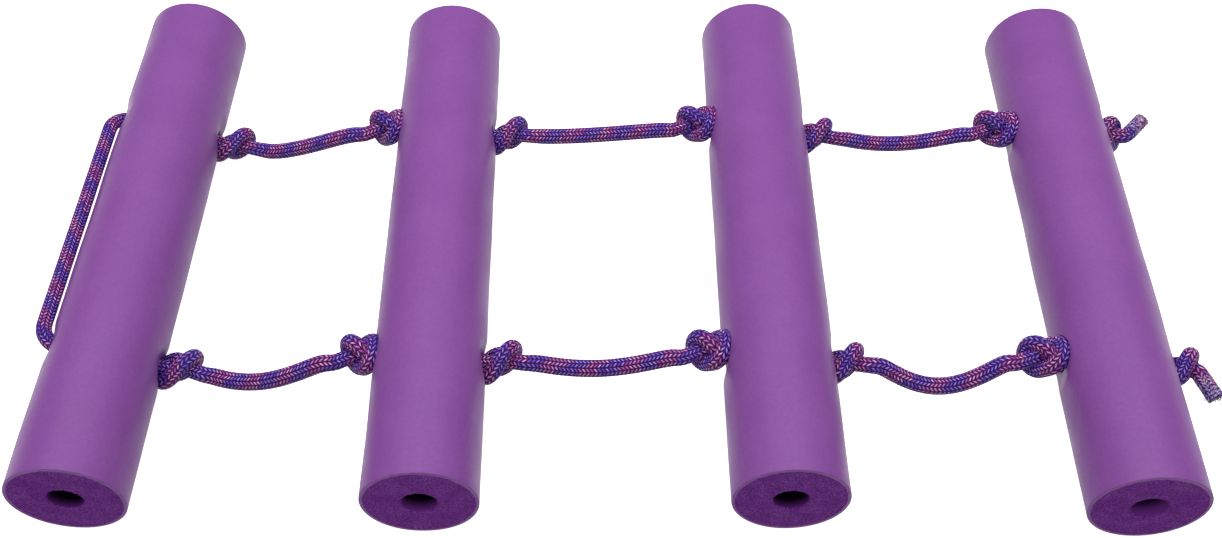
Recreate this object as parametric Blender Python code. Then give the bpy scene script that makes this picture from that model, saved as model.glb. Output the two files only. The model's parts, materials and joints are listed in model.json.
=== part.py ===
"""Rope ladder: four foam tube rungs threaded on one braided rope, with an overhand knot at every hole.

Frame, in metres: X runs down the ladder, from rung 1 (the hung end) to rung 4. Y runs along the rungs.
Z points up, and the ladder lies with its rungs on z = 0. "Left" is -Y and "right" is +Y, as seen with
rung 1 on top. A rung's "head" side faces rung 1 and its "foot" side faces rung 4.

The rope is one length: left tail, up the left side through every rung, across rung 1 as the hanging
loop, and down the right side to the right tail. It is cut into nodes where it flexes: at the knots.
"""

import math
from collections import namedtuple

import bmesh
import bpy
from mathutils import Matrix, Vector

# Driving dimensions
ROPE_DIAMETER = 0.010
RUNG_DIAMETER = 0.070
RUNG_LENGTH = 0.400
BORE_DIAMETER = 0.021
HOLE_SPACING = 0.200  # between the two cross holes of a rung
HOLE_DIAMETER = ROPE_DIAMETER + 0.0009
GAP = 0.0003  # clearance between pieces that touch

# Where each rung lies. A hand-tied ladder isn't quite regular: x and y are the middle of the rung, skew
# turns it about Z, and its holes rise above level on the head side and drop below it on the foot side.
RungPlace = namedtuple("RungPlace", "x y skew head_rise foot_drop")  # metres, and degrees
RUNG_PLACES = (
    RungPlace(-0.333, 0.002, 0.0, 24.0, 18.0),
    RungPlace(-0.131, 0.000, 1.3, 0.0, 4.0),
    RungPlace(0.090, 0.002, 0.0, 1.0, 7.0),
    RungPlace(0.303, -0.003, -1.6, 0.0, 2.0),
)
SPAN_STIFFNESS = 0.6  # how far the rope keeps the holes' directions, as a share of its length
# How far the rope hangs below a straight line in each bay, and how far it bows sideways
SPAN_SAGS = {"left": (0.004, 0.004, 0.012), "right": (0.001, 0.001, 0.006)}
SPAN_BOWS = {"left": (-0.004, -0.003, -0.008), "right": (0.0, 0.0, 0.0)}

# The knots
KNOT_UNIT = 0.0092  # the unit of the knot's curve: the rope's diameter where a knot squeezes it
KNOT_ROPE = 0.0083  # the tube's diameter inside the knot, thinner so that its turns stay apart
KNOT_REACH = 1.9 * KNOT_UNIT  # from the knot's middle to each end of its leads
KNOT_SEAT = 0.008  # from the rung's surface to the knot's middle
KNOT_TURNS = {"head": 218.0, "foot": 128.0}  # each knot's turn about the rope, in degrees
KNOT_TURN_STEP = 8.0  # how much that differs from rung to rung
# The two knots that end the rope: their turns, how they are tied (-1 is the mirror image of the others),
# and how much deeper they are pulled into the foam
END_KNOT_TURNS = {"left": 112.0, "right": 192.0}
END_KNOT_HANDS = {"left": 1, "right": -1}
END_KNOT_SINKS = {"left": 0.0, "right": 0.006}
KNOT_END_CUT = 0.84  # where, in u, the rope leaves an end knot for the tail
KNOT_POINTS = 37
DIMPLE_RADIUS = 0.021  # the hollow that a knot presses into the foam
DIMPLE_DEPTH = 0.0068
SINK_SPREAD = 0.7  # how much wider the hollow of a deeper knot is, as a share of the extra depth

# The hanging loop, the tails and their sleeves
LOOP_STANDOFF = 0.0408  # from rung 1's axis to the loop's rope
LOOP_BEND = 0.014
LOOP_PULL = 0.0065  # how far the loop has drawn its holes out towards the rung's middle
TAIL_BEND = 0.0065  # the radius that a tail bends round as it leaves its end knot
TAIL_LEANS = {"left": (0.39, -0.90, -0.19), "right": (0.71, 0.69, 0.16)}  # the tails' directions
TAIL_STRAIGHTS = {"left": 0.003, "right": 0.0025}  # from a tail's bend to its sleeve
SLEEVE_LENGTH = 0.017
SLEEVE_WALL = 0.0006

RUNG_SIDES = 48
RUNG_RADIUS = RUNG_DIAMETER / 2
ROPE_RADIUS = ROPE_DIAMETER / 2
AXIS_HEIGHT = RUNG_RADIUS * math.cos(math.pi / RUNG_SIDES)  # a flat of the faceted rung lies on z = 0
KNOT_MIDDLE = RUNG_RADIUS + KNOT_SEAT
LEAD_END = KNOT_MIDDLE + KNOT_REACH  # where a knot's outer lead ends, from the rung's axis
LEAD_START = KNOT_MIDDLE - KNOT_REACH  # where its inner lead ends, inside the hole
PIVOT = LEAD_END + GAP + ROPE_RADIUS  # where the rope bends, from the rung's axis
RAILS = {"left": -1, "right": 1}
SIDES = {"head": -1, "foot": 1}


def clear_scene():
    for obj in list(bpy.data.objects):
        bpy.data.objects.remove(obj, do_unlink=True)


def make_material(name, colour, roughness, transmission=0.0):
    material = bpy.data.materials.new(name)
    material.use_nodes = True
    shader = material.node_tree.nodes["Principled BSDF"]
    shader.inputs["Base Color"].default_value = (*colour, 1.0)
    shader.inputs["Roughness"].default_value = roughness
    shader.inputs["Transmission Weight"].default_value = transmission
    shader.inputs["Metallic"].default_value = 0.0
    material.diffuse_color = (*colour, 1.0)
    return material


def add_object(name, data, material=None, parent=None, matrix=Matrix()):
    """Links data as an object at matrix, in world space, and hangs it on its body's empty."""
    obj = bpy.data.objects.new(name, data)
    bpy.context.scene.collection.objects.link(obj)
    if material:
        obj.data.materials.append(material)
    if parent:
        obj.parent = parent
        obj.matrix_parent_inverse = Matrix.Translation(parent.location).inverted()
    obj.matrix_basis = matrix
    return obj


def add_body(name, location):
    """The empty that a moving body's pieces hang on, on the axis of that body's joint."""
    empty = add_object(name, None)
    empty.location = location
    empty.empty_display_size = 0.03
    return empty


def rung_matrix(place):
    """A rung's own frame: Y along the rung, and X level towards the foot of the ladder."""
    return Matrix.Translation((place.x, place.y, AXIS_HEIGHT)) @ Matrix.Rotation(
        math.radians(place.skew), 4, "Z"
    )


def hole_matrix(place, side, rail=None):
    """The frame of a rung's hole on one side, from the rung's axis: X runs along the hole, footwards."""
    tilt = place.head_rise if side == "head" else place.foot_drop
    rail_y = RAILS[rail] * HOLE_SPACING / 2 if rail else 0.0
    return (
        rung_matrix(place)
        @ Matrix.Translation((0.0, rail_y, 0.0))
        @ Matrix.Rotation(math.radians(tilt), 4, "Y")
    )


def beside_rung(place, side, distance, rail=None):
    """The point on a hole's line that far from the rung's axis, in world space."""
    return hole_matrix(place, side, rail) @ Vector((SIDES[side] * distance, 0.0, 0.0))


def knot_sink(number, rail, side):
    """How much deeper a knot is pulled into the foam than the usual one."""
    return END_KNOT_SINKS[rail] if (number, side) == (len(RUNG_PLACES), "foot") else 0.0


def hole_heading(place, side):
    """The unit vector along a hole, footwards."""
    return hole_matrix(place, side).to_3x3() @ Vector((1.0, 0.0, 0.0))


# Rungs


def revolved_mesh(name, profile, sides, phase=0.0):
    """A closed solid: the closed profile of (radius, y) points turned about the Y axis."""
    mesh = bpy.data.meshes.new(name)
    solid = bmesh.new()
    rings = []
    for step in range(sides):
        angle = phase + math.tau * step / sides
        rings.append(
            [solid.verts.new((r * math.cos(angle), y, r * math.sin(angle))) for r, y in profile]
        )
    count = len(profile)
    for step in range(sides):
        this, following = rings[step], rings[(step + 1) % sides]
        for i in range(count):
            j = (i + 1) % count
            solid.faces.new((this[i], this[j], following[j], following[i]))
    bmesh.ops.recalc_face_normals(solid, faces=solid.faces)
    solid.to_mesh(mesh)
    solid.free()
    return mesh


def smooth(mesh, angle=30.0):
    mesh.shade_smooth()
    mesh.set_sharp_from_angle(angle=math.radians(angle))


def add_cutter(name, target, matrix, build):
    """Cuts a hidden solid, which build makes with bmesh, out of target."""
    mesh = bpy.data.meshes.new(name)
    solid = bmesh.new()
    build(solid)
    solid.to_mesh(mesh)
    solid.free()
    cutter = add_object(name, mesh, matrix=matrix)
    cutter.hide_render = True
    cutter.display_type = "WIRE"
    boolean = target.modifiers.new(name, "BOOLEAN")
    boolean.operation = "DIFFERENCE"
    boolean.solver = "EXACT"
    boolean.object = cutter


def hole_shape(solid):
    """A cylinder along X, from the rung's axis out past its surface on the +X side."""
    depth = 1.3 * RUNG_RADIUS
    bmesh.ops.create_cone(
        solid,
        cap_ends=True,
        segments=16,
        radius1=HOLE_DIAMETER / 2,
        radius2=HOLE_DIAMETER / 2,
        depth=depth,
        matrix=Matrix.Translation((depth / 2, 0.0, 0.0)) @ Matrix.Rotation(math.pi / 2, 4, "Y"),
    )


def slot_shape(solid):
    """The hole, drawn out sideways by the loop that bends out of it. Its outer half stays where it was."""
    hole_shape(solid)
    for vert in solid.verts:
        if vert.co.y > GAP:
            vert.co.y += LOOP_PULL


def dimple_shape(solid):
    """A flat lens, squat along X."""
    bmesh.ops.create_uvsphere(
        solid,
        u_segments=20,
        v_segments=10,
        radius=1.0,
        matrix=Matrix.Diagonal((DIMPLE_DEPTH, DIMPLE_RADIUS, DIMPLE_RADIUS, 1.0))
        @ Matrix.Rotation(math.pi / 2, 4, "Y"),
    )


def build_rung(number, place, body, foam):
    """The foam tube, with its bore, two cross holes and the hollows under its knots."""
    half = RUNG_LENGTH / 2
    outer, inner = RUNG_RADIUS, BORE_DIAMETER / 2
    profile = [(outer, -half), (outer, half), (inner, half), (inner, -half)]
    mesh = revolved_mesh(f"rung_{number}", profile, RUNG_SIDES, phase=math.pi / RUNG_SIDES)
    smooth(mesh)
    rung = add_object(f"rung_{number}", mesh, foam, body, rung_matrix(place))
    for rail in RAILS:
        for side, direction in SIDES.items():
            # Half turns put +X outwards and +Y towards the rung's middle; the shapes are even in Z.
            outward = Matrix.Diagonal((direction, -RAILS[rail], -direction * RAILS[rail], 1.0))
            at_hole = hole_matrix(place, side, rail) @ outward
            if (number, side) == (1, "head"):
                add_cutter(f"cut_slot_{rail}", rung, at_hole, slot_shape)
                continue
            add_cutter(f"cut_hole_{number}_{side}_{rail}", rung, at_hole, hole_shape)
            sink = knot_sink(number, rail, side)
            wider = 1 + SINK_SPREAD * sink / DIMPLE_RADIUS
            swell = Matrix.Diagonal((1 + sink / DIMPLE_DEPTH, wider, wider, 1.0))
            at_knot = at_hole @ Matrix.Translation((RUNG_RADIUS, 0.0, 0.0)) @ swell
            add_cutter(f"cut_dimple_{number}_{side}_{rail}", rung, at_knot, dimple_shape)
    return rung


# Rope


def rope_curve(name, points, radii):
    """A round tube along the points; each radius is a share of the rope's."""
    curve = bpy.data.curves.new(name, "CURVE")
    curve.dimensions = "3D"
    curve.bevel_depth = ROPE_RADIUS
    curve.bevel_resolution = 2
    curve.use_fill_caps = True
    spline = curve.splines.new("POLY")
    spline.points.add(len(points) - 1)
    for slot, point, radius in zip(spline.points, points, radii):
        slot.co = (*point, 1.0)
        slot.radius = radius
    spline.use_smooth = True
    return curve


def overhand(u, hand=1):
    """A tight overhand knot, u from -1 to 1, in knot units. It is the same from both ends (half a turn
    about Y swaps them), and its leads come in and go out along X. A hand of -1 mirrors it."""
    wave = math.pi * u
    x = 1.90 * u - 1.67 * math.sin(wave) + 0.09 * math.sin(2 * wave) - 0.04 * math.sin(4 * wave)
    y = 0.35 * math.cos(wave) + 1.13 * math.cos(2 * wave) + 0.07 * math.cos(3 * wave)
    y -= 0.15 * math.cos(4 * wave) + 0.56
    z = 0.38 * math.sin(wave) + 0.96 * math.sin(2 * wave) + 0.22 * math.sin(3 * wave)
    z -= 0.22 * math.sin(4 * wave)
    return Vector((x, y, hand * z))


def knot_curve(name, last_u, hand):
    """The knotted tube along X, full rope thickness at its leads and squeezed in between."""
    points, radii = [], []
    squeezed = KNOT_ROPE / ROPE_DIAMETER
    for step in range(KNOT_POINTS):
        u = (1 + last_u) * step / (KNOT_POINTS - 1) - 1
        lead = max(0.0, (abs(u) - 0.86) / 0.14)
        points.append(overhand(u, hand) * KNOT_UNIT)
        radii.append(squeezed + (1 - squeezed) * lead)
    return rope_curve(name, points, radii)


def knot_matrix(number, place, rail, side):
    turn = KNOT_TURNS[side] + KNOT_TURN_STEP * (number - 2) * RAILS[rail]
    if (number, side) == (len(RUNG_PLACES), "foot"):
        turn = END_KNOT_TURNS[rail]
    middle = KNOT_MIDDLE - knot_sink(number, rail, side)
    return (
        hole_matrix(place, side, rail)
        @ Matrix.Translation((SIDES[side] * middle, 0.0, 0.0))
        @ Matrix.Rotation(math.radians(turn), 4, "X")
    )


def build_knot(name, number, place, rail, side, body, rope, last_u=1.0, hand=1):
    matrix = knot_matrix(number, place, rail, side)
    return add_object(name, knot_curve(name, last_u, hand), rope, body, matrix)


def build_through(number, place, rail, body, rope):
    """The rope inside a rung, between its two knots' inner leads."""
    middle = beside_rung(place, "head", 0.0, rail)
    inside = {side: LEAD_START - GAP - knot_sink(number, rail, side) for side in SIDES}
    ends = [beside_rung(place, side, inside[side], rail) for side in ("head", "foot")]
    points = [ends[0] - middle, Vector(), ends[1] - middle]
    name = f"rope_through_{number}_{rail}"
    curve = rope_curve(name, points, [1.0] * 3)
    return add_object(name, curve, rope, body, Matrix.Translation(middle))


def round_ended(points, radius):
    """Adds the points and radii that close a tube in half a ball at both ends."""
    steps = 3
    start, end = points[0], points[-1]
    back = (points[0] - points[1]).normalized()
    ahead = (points[-1] - points[-2]).normalized()
    angles = [math.pi / 2 * (step + 0.35) / (steps + 0.35) for step in range(steps)]
    caps = [(radius * math.cos(a), math.sin(a)) for a in angles]
    head = [(start + back * offset, share) for offset, share in caps]
    tail = [(end + ahead * offset, share) for offset, share in reversed(caps)]
    body = [(point, 1.0) for point in points]
    route = head + body + tail
    return [point for point, _ in route], [share for _, share in route]


def span_points(number, rail):
    """The rope of one bay from pivot to pivot: a smooth curve that leaves along the rungs' holes."""
    upper, lower = RUNG_PLACES[number - 1], RUNG_PLACES[number]
    slack = Vector((0.0, SPAN_BOWS[rail][number - 1], -SPAN_SAGS[rail][number - 1]))
    start = beside_rung(upper, "foot", PIVOT, rail)
    end = beside_rung(lower, "head", PIVOT, rail)
    pull = SPAN_STIFFNESS * (end - start).length
    leave = hole_heading(upper, "foot") * pull
    arrive = hole_heading(lower, "head") * pull
    points = []
    steps = 9
    for step in range(steps + 1):
        t = step / steps
        point = (
            start * (2 * t**3 - 3 * t**2 + 1)
            + leave * (t**3 - 2 * t**2 + t)
            + end * (3 * t**2 - 2 * t**3)
            + arrive * (t**3 - t**2)
        )
        points.append(point + slack * math.sin(math.pi * t) ** 1.5)
    return points


def build_span(number, rail, body, rope):
    points, radii = round_ended(span_points(number, rail), ROPE_RADIUS)
    name = f"rope_span_{number}{number + 1}_{rail}"
    origin = body.location
    curve = rope_curve(name, [point - origin for point in points], radii)
    return add_object(name, curve, rope, body, Matrix.Translation(origin))


def build_hanging_loop(place, body, rope):
    """The rope across rung 1's head side, from one cross hole to the other."""
    half = HOLE_SPACING / 2
    corner = LOOP_STANDOFF - LOOP_BEND
    bend_steps, straight_steps = 6, 10
    right = [Vector((-LEAD_START, half, 0.0))]
    for step in range(bend_steps + 1):
        angle = math.pi / 2 * step / bend_steps
        x = -corner - LOOP_BEND * math.sin(angle)
        right.append(Vector((x, half - LOOP_BEND * (1 - math.cos(angle)), 0.0)))
    straight = half - LOOP_BEND
    middle = [
        Vector((-LOOP_STANDOFF, straight * (1 - 2 * step / straight_steps), 0.0))
        for step in range(1, straight_steps)
    ]
    left = [Vector((point.x, -point.y, 0.0)) for point in reversed(right)]
    points = right + middle + left
    curve = rope_curve("hanging_loop", points, [1.0] * len(points))
    return add_object("hanging_loop", curve, rope, body, hole_matrix(place, "head"))


def build_tail(number, place, rail, body, rope, clear):
    """The short free end past an end knot, and the clear sleeve that keeps it from fraying."""
    knot = knot_matrix(number, place, rail, "foot")
    hand = END_KNOT_HANDS[rail]
    cut = overhand(KNOT_END_CUT, hand)
    leave = (knot.to_3x3() @ (cut - overhand(KNOT_END_CUT - 0.01, hand))).normalized()
    start = knot @ (cut * KNOT_UNIT) + leave * GAP
    lean = Vector(TAIL_LEANS[rail]).normalized()
    bend = TAIL_BEND * leave.angle(lean)
    points = [start]
    steps = 6
    for step in range(steps):
        heading = leave.slerp(lean, step / steps)
        points.append(points[-1] + heading * bend / steps)
    collar = points[-1] + lean * TAIL_STRAIGHTS[rail]
    points.append(collar)
    tip = collar + lean * SLEEVE_LENGTH
    points.append(tip)
    name = f"tail_{rail}"
    curve = rope_curve(name, [point - start for point in points], [1.0] * len(points))
    add_object(name, curve, rope, body, Matrix.Translation(start))

    inner = ROPE_RADIUS + GAP
    outer = inner + SLEEVE_WALL
    low, high = 0.002, SLEEVE_LENGTH
    profile = [(outer, low), (outer, high), (inner, high), (inner, low)]
    mesh = revolved_mesh(f"end_sleeve_{rail}", profile, 16)
    smooth(mesh)
    turn = Vector((0, 1, 0)).rotation_difference(lean).to_matrix().to_4x4()
    add_object(f"end_sleeve_{rail}", mesh, clear, body, Matrix.Translation(collar) @ turn)


def build_ladder():
    foam = make_material("purple_foam", (0.27, 0.10, 0.36), 0.55)
    rope = make_material("braided_rope", (0.30, 0.06, 0.42), 0.7)
    clear = make_material("clear_sleeve", (0.85, 0.82, 0.90), 0.2, transmission=0.8)

    for index, place in enumerate(RUNG_PLACES):
        number = index + 1
        if index == 0:
            at = rung_matrix(place).translation
        else:
            at = beside_rung(place, "head", PIVOT)
        body = add_body(f"body_rung_{number}", at)
        build_rung(number, place, body, foam)
        for rail in RAILS:
            build_through(number, place, rail, body, rope)
            if number > 1:
                build_knot(f"knot_{number}_head_{rail}", number, place, rail, "head", body, rope)
            if number < len(RUNG_PLACES):
                build_knot(f"knot_{number}_foot_{rail}", number, place, rail, "foot", body, rope)
            else:
                name, hand = f"end_knot_{rail}", END_KNOT_HANDS[rail]
                build_knot(name, number, place, rail, "foot", body, rope, KNOT_END_CUT, hand)
                build_tail(number, place, rail, body, rope, clear)
        if number == 1:
            build_hanging_loop(place, body, rope)

    for number in range(1, len(RUNG_PLACES)):
        pivot = beside_rung(RUNG_PLACES[number - 1], "foot", PIVOT)
        bay = add_body(f"body_bay_{number}{number + 1}", pivot)
        for rail in RAILS:
            build_span(number, rail, bay, rope)


clear_scene()
build_ladder()
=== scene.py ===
"""The finish of the rope ladder: its foam tube rungs, the one braided rope with its knots, and the clear
sleeves on the rope's ends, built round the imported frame.

The rope is worked out as one centreline, from the left tail up to the hanging loop and down to the right
tail. It is then cut into pieces at the middle of each bay and inside each rung, so that the braid and its
colour bands run on from piece to piece, and so that each piece bends across one joint at most.

Metres, in the frame's own axes: X down the ladder, Y along the rungs, Z up, "left" is -Y.
"""

import json
import math

import bpy
import numpy as np
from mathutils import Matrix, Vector


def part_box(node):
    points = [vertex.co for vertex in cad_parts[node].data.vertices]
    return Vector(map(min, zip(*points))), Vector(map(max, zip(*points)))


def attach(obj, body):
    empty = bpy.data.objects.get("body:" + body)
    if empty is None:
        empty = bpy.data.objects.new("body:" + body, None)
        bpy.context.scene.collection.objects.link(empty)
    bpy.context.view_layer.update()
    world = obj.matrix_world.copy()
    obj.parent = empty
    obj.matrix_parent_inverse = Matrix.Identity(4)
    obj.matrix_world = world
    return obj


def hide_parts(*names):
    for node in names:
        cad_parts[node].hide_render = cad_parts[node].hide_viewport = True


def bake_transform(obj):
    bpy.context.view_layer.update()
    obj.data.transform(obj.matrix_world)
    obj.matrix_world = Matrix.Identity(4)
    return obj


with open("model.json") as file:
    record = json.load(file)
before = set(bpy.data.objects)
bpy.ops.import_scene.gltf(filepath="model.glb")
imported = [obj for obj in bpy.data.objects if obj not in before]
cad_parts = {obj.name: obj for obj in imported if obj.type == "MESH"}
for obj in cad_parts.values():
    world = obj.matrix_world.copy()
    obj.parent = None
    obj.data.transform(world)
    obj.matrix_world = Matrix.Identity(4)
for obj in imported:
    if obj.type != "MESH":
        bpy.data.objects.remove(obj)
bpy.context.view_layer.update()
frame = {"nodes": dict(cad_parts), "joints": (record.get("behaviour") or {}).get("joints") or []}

# Dimensions that the frame's nodes share
RUNG_RADIUS = 0.035
BORE_RADIUS = 0.0105
RUNG_LENGTH = 0.400
HOLE_SPACING = 0.200
RAILS = {"left": -1, "right": 1}
SIDES = {"head": -1, "foot": 1}
RUNGS = (1, 2, 3, 4)

# The rope's route, which follows the frame's nodes
SPAN_POINTS = 41
SPAN_STIFFNESS = 0.6
SPAN_SAGS = {"left": (0.004, 0.004, 0.012), "right": (0.001, 0.001, 0.006)}
SPAN_BOWS = {"left": (-0.004, -0.003, -0.008), "right": (0.0, 0.0, 0.0)}
KNOT_UNIT = 0.0092  # the rope's diameter where a knot squeezes it
KNOT_MIDDLE = RUNG_RADIUS + 0.008  # from the rung's axis
KNOT_REACH = 2.45  # from the knot's middle to the ends of its leads, in knot units
KNOT_SQUEEZE = 0.95  # the gap that a tight knot's turns keep, from centre to centre, in knot units
KNOT_STEP = 0.2  # from point to point of a knot while it is pulled tight, in knot units
KNOT_NEIGHBOURS = 1.6  # along the rope, in knot units: points closer than that never push each other
KNOT_LEADS = 1.75  # from the knot's middle, in knot units: the rope beyond that is drawn into line
KNOT_ROUNDS = 900  # of pulling
KNOT_TURNS = {"head": 218.0, "foot": 128.0}  # degrees about the hole's line
KNOT_TURN_STEP = 8.0
END_KNOT_TURNS = {"left": 112.0, "right": 192.0}
END_KNOT_HANDS = {"left": 1, "right": -1}  # -1 is the mirror image of the other knots
END_KNOT_SINKS = {"left": 0.0, "right": 0.006}  # how much deeper it is pulled into the foam
KNOT_CORE = 0.0205  # beyond that distance from a knot's middle, the rope is slack
KNOT_END_CUT = 0.84  # where overhand() ends an end knot and its tail starts
LOOP_STANDOFF = 0.0408  # from rung 1's axis
LOOP_BEND = 0.014
LOOP_LEAD = 0.0255  # where the loop's rope starts inside rung 1, from its axis
TAIL_STIFFNESS = 1.3
TAIL_LEAD = 0.002  # straight rope before the sleeve
TAIL_PAST_SLEEVE = 0.0002
BLEND_REACH = 0.011  # half of the stretch of rope round each joint

# The rope's surface
ROPE_STEP = 0.0005  # from ring to ring
ROPE_SIDES = 72
ROPE_SMOOTHING = 0.0015  # the reach of the averaging that rounds the centreline's corners
RADIUS_SMOOTHING = 0.003  # and that of the rope's change from slack to tight
# The rope's radius to the bottom of the braid's relief: in the taut loop, in knots, in tails and in spans
TAUT_RADIUS = 0.00440
KNOT_RADIUS = 0.00480
TAIL_RADIUS = 0.00490
SLACK_RADIUS = 0.00525
BRAID_COLUMNS = 12
BRAID_PITCH = 0.0025  # one stitch along the rope
BRAID_RELIEF = 0.00042
BRAID_SLANT = 0.95  # how far a stitch climbs across its column, in stitches
BRAID_FILAMENTS = 3.5  # fine threads along each stitch
BAND_ROWS = 10  # rows of stitches in one pink and one violet band together
BAND_RAGGEDNESS = 1.6  # how far a band's edge strays, in rows of stitches

# The clear sleeves
SLEEVE_LENGTH = 0.015
SLEEVE_RADIUS = 0.0059
SLEEVE_FLARES = {"left": 0.0012, "right": 0.0001}
SLEEVE_NOTCHES = {"left": 5, "right": 0}  # torn into the sleeve's far end
WISPS = 46  # of torn film and filaments, at the torn end

# The foam
RUNG_COLUMNS = 176
RIM_ROUND = 0.0005
HOLE_WINDOW = 0.026  # each side of a hole, along the rung, where the skin's rings are close together
PRESSED_REACH = 0.0255  # each side of a hole, along the rung, where rope and knots can press the skin
PRESSING_ROPE = 0.064  # from the rung's axis at the hole: rope further away doesn't press the skin
FOAM_CLEARANCE = 0.0053  # from the rope's centreline to the foam it presses aside
HOLE_DEPTH = 0.0095  # how far a rope or a knot can press the skin in
DIMPLE_RADIUS = 0.018  # of the soft bowl under each knot
DIMPLE_DEPTH = 0.0032
LOOP_DIMPLE = 0.0016
FOAM_UNEVENNESS = 0.00007
CUT_ROUGHNESS = 0.00009


# Where the frame's pieces lie


def unit(vector):
    return np.asarray(vector, float) / np.linalg.norm(vector)


def node_points(node):
    return np.array([vertex.co for vertex in frame["nodes"][node].data.vertices], float)


def node_middle(node):
    low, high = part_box(node)
    return (np.array(low) + np.array(high)) / 2


class Rung:
    """A rung's middle, its direction, and the directions of the holes on its two sides."""

    def __init__(self, number, joints):
        self.number = number
        self.middle = node_middle(f"rung_{number}")
        joint = joints["fold_1_foot" if number == 1 else f"fold_{number}_head"]
        along = unit(joint["axis"])
        self.along = along * math.copysign(1.0, along[1])
        self.level = np.cross(self.along, (0.0, 0.0, 1.0))
        self.pivot = float(np.linalg.norm(self.cross_section(np.array(joint["pos_m"]) - self.middle)))
        self.headings = {side: self.find_heading(side) for side in SIDES}

    def cross_section(self, offset):
        return offset - self.along * float(offset @ self.along)

    def find_heading(self, side):
        """The direction of the hole on one side, footwards, from the ends of the rope inside the rung."""
        end_depth = 0.005
        found = np.zeros(3)
        for rail in RAILS:
            offsets = node_points(f"rope_through_{self.number}_{rail}") - self.middle
            reach = SIDES[side] * (offsets @ self.level)
            end = offsets[reach > reach.max() - end_depth].mean(axis=0)
            found += SIDES[side] * self.cross_section(end)
        return unit(found)

    def outwards(self, side):
        """The direction in which a side's holes leave the rung."""
        return self.headings[side] * SIDES[side]

    def on_hole(self, side, rail, distance):
        """The point on a hole's line that far out from the rung's axis."""
        rail_offset = RAILS[rail] * HOLE_SPACING / 2
        return self.middle + self.along * rail_offset + self.outwards(side) * distance

    def hole_axes(self, side):
        """The hole's own axes as rows: footwards, along the rung, and across both."""
        heading = self.headings[side]
        return np.array([heading, self.along, np.cross(heading, self.along)])


# Every knot between two rungs, as its rung, side and rail
KNOTS = [
    (number, side, rail)
    for rail in RAILS
    for number in RUNGS
    for side in SIDES
    if (number, side) not in ((RUNGS[0], "head"), (RUNGS[-1], "foot"))
]

JOINTS = {joint["name"]: joint for joint in frame["joints"]}
LADDER = {number: Rung(number, JOINTS) for number in RUNGS}


# The rope's centreline


def overhand(u):
    """An overhand knot in knot units, u from -1 to 1, with its leads along X."""
    wave = math.pi * np.asarray(u)
    x = 1.90 * u - 1.67 * np.sin(wave) + 0.09 * np.sin(2 * wave) - 0.04 * np.sin(4 * wave)
    y = 0.35 * np.cos(wave) + 1.13 * np.cos(2 * wave) + 0.07 * np.cos(3 * wave)
    y = y - 0.15 * np.cos(4 * wave) - 0.56
    z = 0.38 * np.sin(wave) + 0.96 * np.sin(2 * wave) + 0.22 * np.sin(3 * wave)
    z = z - 0.22 * np.sin(4 * wave)
    return np.stack([x, y, z], axis=-1)


def resample(points, step):
    """The same polyline, with evenly spaced points."""
    lengths = np.linalg.norm(np.diff(points, axis=0), axis=1)
    at = np.concatenate([[0.0], np.cumsum(lengths)])
    count = max(2, int(round(at[-1] / step)))
    wanted = np.linspace(0.0, at[-1], count + 1)
    return np.stack([np.interp(wanted, at, points[:, axis]) for axis in range(3)], axis=1)


def push_apart(points, rounds):
    """Moves stretches of rope that lie closer together than KNOT_SQUEEZE away from each other."""
    neighbours = int(math.ceil(KNOT_NEIGHBOURS / KNOT_STEP))
    first, second = np.triu_indices(len(points), neighbours)
    for _ in range(rounds):
        between = points[second] - points[first]
        distance = np.linalg.norm(between, axis=1)
        close = distance < KNOT_SQUEEZE
        if not close.any():
            break
        share = (KNOT_SQUEEZE - distance[close]) / (2 * np.maximum(distance[close], 1e-6))
        push = between[close] * share[:, None]
        moves = np.zeros_like(points)
        counts = np.zeros(len(points))
        np.add.at(moves, first[close], -push)
        np.add.at(moves, second[close], push)
        np.add.at(counts, first[close], 1)
        np.add.at(counts, second[close], 1)
        points = points + 0.9 * moves / np.sqrt(np.maximum(counts, 1))[:, None]
    return points


def tighten_knot(rounds):
    """Pulls the overhand knot tight: the rope shortens itself until its turns press on each other."""
    ends = np.array([[-KNOT_REACH, 0.0, 0.0], [KNOT_REACH, 0.0, 0.0]])
    points = np.concatenate([ends[:1], overhand(np.linspace(-1, 1, 201)), ends[1:]])
    for _ in range(rounds):
        points = resample(points, KNOT_STEP)
        straighter = (points[:-2] + points[2:]) / 2
        points[1:-1] += 0.45 * (straighter - points[1:-1])
        points = push_apart(points, 3)
        leads = np.abs(points[:, 0]) > KNOT_LEADS
        points[leads, 1:] *= 0.5
        points[0], points[-1] = ends
    return push_apart(points, 20)


def knot_sink(rung, side, rail):
    """How much deeper a knot is pulled into the foam than the usual one."""
    return END_KNOT_SINKS[rail] if (rung.number, side) == (RUNGS[-1], "foot") else 0.0


def place_knot(knot, rung, side, rail):
    """The knot's points where it sits against its rung, from the head of the ladder to the foot."""
    turn = KNOT_TURNS[side] + KNOT_TURN_STEP * (rung.number - 2) * RAILS[rail]
    x, y, z = knot.T * KNOT_UNIT
    if (rung.number, side) == (RUNGS[-1], "foot"):
        turn = END_KNOT_TURNS[rail]
        z = END_KNOT_HANDS[rail] * z
    turn = math.radians(turn)
    turned = np.stack(
        [x, y * math.cos(turn) - z * math.sin(turn), y * math.sin(turn) + z * math.cos(turn)], axis=1
    )
    middle = rung.on_hole(side, rail, KNOT_MIDDLE - knot_sink(rung, side, rail))
    return middle + turned @ rung.hole_axes(side)


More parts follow.
